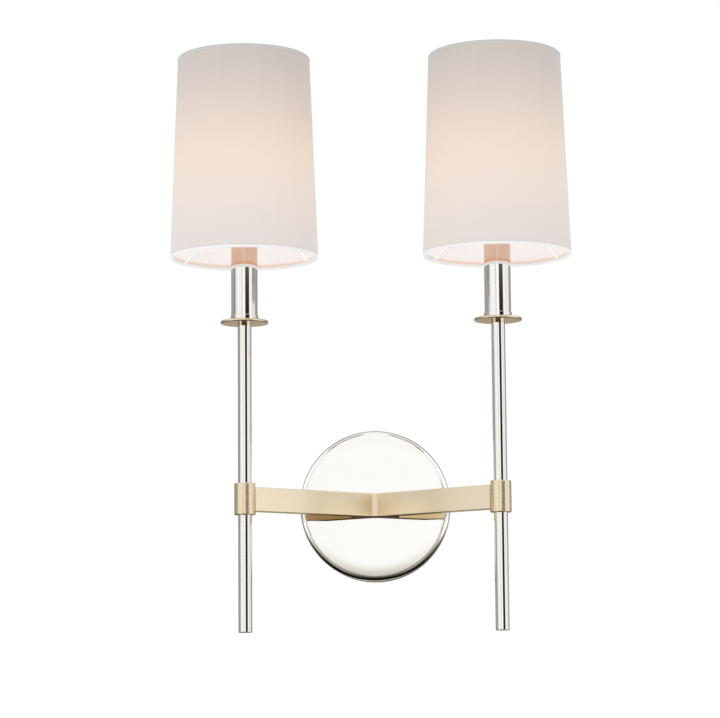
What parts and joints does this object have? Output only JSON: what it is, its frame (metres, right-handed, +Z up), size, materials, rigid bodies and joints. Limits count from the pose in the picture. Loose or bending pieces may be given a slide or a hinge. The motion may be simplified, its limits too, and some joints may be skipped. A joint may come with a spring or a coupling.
{
  "type": "wall sconce",
  "caption": "Wall sconce with a round polished plate, a shallow V of brass arms, upright rods in collars, candle sleeves on brass discs and tapered fabric drum shades that turn.",
  "frame": {"origin": "on the wall, at the middle of the wall plate and of the mounting strap's slots", "axes": "+Z up along the rods, +Y into the wall, +X to the viewer's right; the front faces -Y"},
  "size_m": [0.3694, 0.1882, 0.5318],
  "materials": {
    "polished_nickel": "polished nickel plate",
    "satin_brass": "satin brass, brushed along its length and lacquered",
    "shade_fabric": "plain woven fabric on a stiff liner",
    "white_enamel": "white enamel on steel wire",
    "zinc_steel": "zinc plated",
    "holder_plastic": "moulded heat-resistant plastic",
    "holder_brass": "plain rolled brass",
    "lamp_cap": "rolled thread",
    "lamp_glass": "frosted inside",
    "lamp_filament": "coated filament rods on a stem",
    "lead_black": "insulated wire",
    "lead_white": "insulated wire",
    "connector_orange": "moulded",
    "bushing_black": "moulded",
    "earth_green": "green earthing screw"
  },
  "bodies": {
    "frame": {"backplate": "polished_nickel", "mounting_strap": "zinc_steel", "plate_screws": "polished_nickel", "ground_screw": "earth_green", "stiffener_plate": "zinc_steel", "hub_screws": "zinc_steel", "wire_bushing": "bushing_black", "hub": "satin_brass", "stem_nuts": "zinc_steel", "collar_screws": "satin_brass", "wire_connectors": "connector_orange", "left_arm": "satin_brass", "left_collar": "satin_brass", "left_rod": "polished_nickel", "left_rod_end_cap": "polished_nickel", "left_disc": "satin_brass", "left_seat_ring": "polished_nickel", "left_candle_sleeve": "polished_nickel", "left_socket_stem": "zinc_steel", "left_socket_body": "holder_plastic", "left_socket_shell": "holder_brass", "left_socket_contact": "holder_brass", "left_retaining_ring": "holder_plastic", "left_bulb_base": "lamp_cap", "left_bulb_glass": "lamp_glass", "left_bulb_filament": "lamp_filament", "left_hot_lead": "lead_black", "left_neutral_lead": "lead_white", "right_arm": "satin_brass", "right_collar": "satin_brass", "right_rod": "polished_nickel", "right_rod_end_cap": "polished_nickel", "right_disc": "satin_brass", "right_seat_ring": "polished_nickel", "right_candle_sleeve": "polished_nickel", "right_socket_stem": "zinc_steel", "right_socket_body": "holder_plastic", "right_socket_shell": "holder_brass", "right_socket_contact": "holder_brass", "right_retaining_ring": "holder_plastic", "right_bulb_base": "lamp_cap", "right_bulb_glass": "lamp_glass", "right_bulb_filament": "lamp_filament", "right_hot_lead": "lead_black", "right_neutral_lead": "lead_white"},
    "left_shade": {"left_shade_wall": "shade_fabric", "left_shade_top_ring": "white_enamel", "left_shade_bottom_ring": "white_enamel", "left_shade_fitter": "white_enamel"},
    "right_shade": {"right_shade_wall": "shade_fabric", "right_shade_top_ring": "white_enamel", "right_shade_bottom_ring": "white_enamel", "right_shade_fitter": "white_enamel"}
  },
  "joints": [
    {"name": "left_shade_turn", "type": "hinge", "parent": "frame", "child": "left_shade", "pos_m": [-0.1165, -0.12, 0.268], "axis": [0, 0, 1], "continuous": true},
    {"name": "right_shade_turn", "type": "hinge", "parent": "frame", "child": "right_shade", "pos_m": [0.1165, -0.12, 0.268], "axis": [0, 0, 1], "continuous": true}
  ]
}
